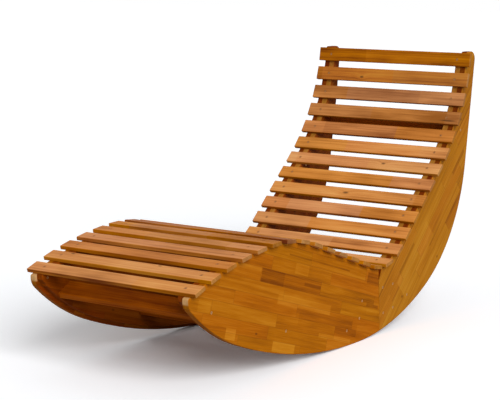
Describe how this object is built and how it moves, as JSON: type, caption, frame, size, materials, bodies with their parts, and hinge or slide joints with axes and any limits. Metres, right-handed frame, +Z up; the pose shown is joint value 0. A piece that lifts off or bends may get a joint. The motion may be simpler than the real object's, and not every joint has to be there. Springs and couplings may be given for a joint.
{
  "type": "rocking chaise lounge",
  "caption": "Slatted wooden chaise lounge on two curved rocker sides, its seat line rising at the knees, dipping at the seat and curving up into a high back.",
  "frame": {"origin": "on the floor under the middle of the lounger's length and width, at rest", "axes": "+Z up, +Y from the leg end to the head, +X to the right looking along +Y"},
  "size_m": [0.6, 1.6298, 0.8717],
  "materials": {
    "slat_wood": "satin, oiled",
    "side_wood": "satin, oiled",
    "inner_wood": "satin, oiled",
    "rail_wood": "satin, oiled",
    "screw_steel": "satin, yellow passivated"
  },
  "bodies": {
    "root": {"slat_01": "slat_wood", "slat_02": "slat_wood", "slat_03": "slat_wood", "slat_04": "slat_wood", "slat_05": "slat_wood", "slat_06": "slat_wood", "slat_07": "slat_wood", "slat_08": "slat_wood", "slat_09": "slat_wood", "slat_10": "slat_wood", "slat_11": "slat_wood", "slat_12": "slat_wood", "slat_13": "slat_wood", "slat_14": "slat_wood", "slat_15": "slat_wood", "slat_16": "slat_wood", "slat_17": "slat_wood", "slat_18": "slat_wood", "slat_19": "slat_wood", "slat_20": "slat_wood", "slat_21": "slat_wood", "slat_22": "slat_wood", "slat_23": "slat_wood", "slat_24": "slat_wood", "slat_25": "slat_wood", "slat_26": "slat_wood", "slat_27": "slat_wood", "side_outer_leg_left": "side_wood", "side_outer_back_left": "side_wood", "side_inner_leg_left": "inner_wood", "side_inner_back_left": "inner_wood", "side_outer_leg_right": "side_wood", "side_outer_back_right": "side_wood", "side_inner_leg_right": "inner_wood", "side_inner_back_right": "inner_wood", "rail_leg_end": "rail_wood", "rail_leg_middle": "rail_wood", "rail_seat_front": "rail_wood", "rail_seat_back": "rail_wood", "rail_back": "rail_wood", "slat_screws": "screw_steel", "rail_screws": "screw_steel", "seam_screws": "screw_steel", "board_screws": "screw_steel"}
  },
  "joints": []
}
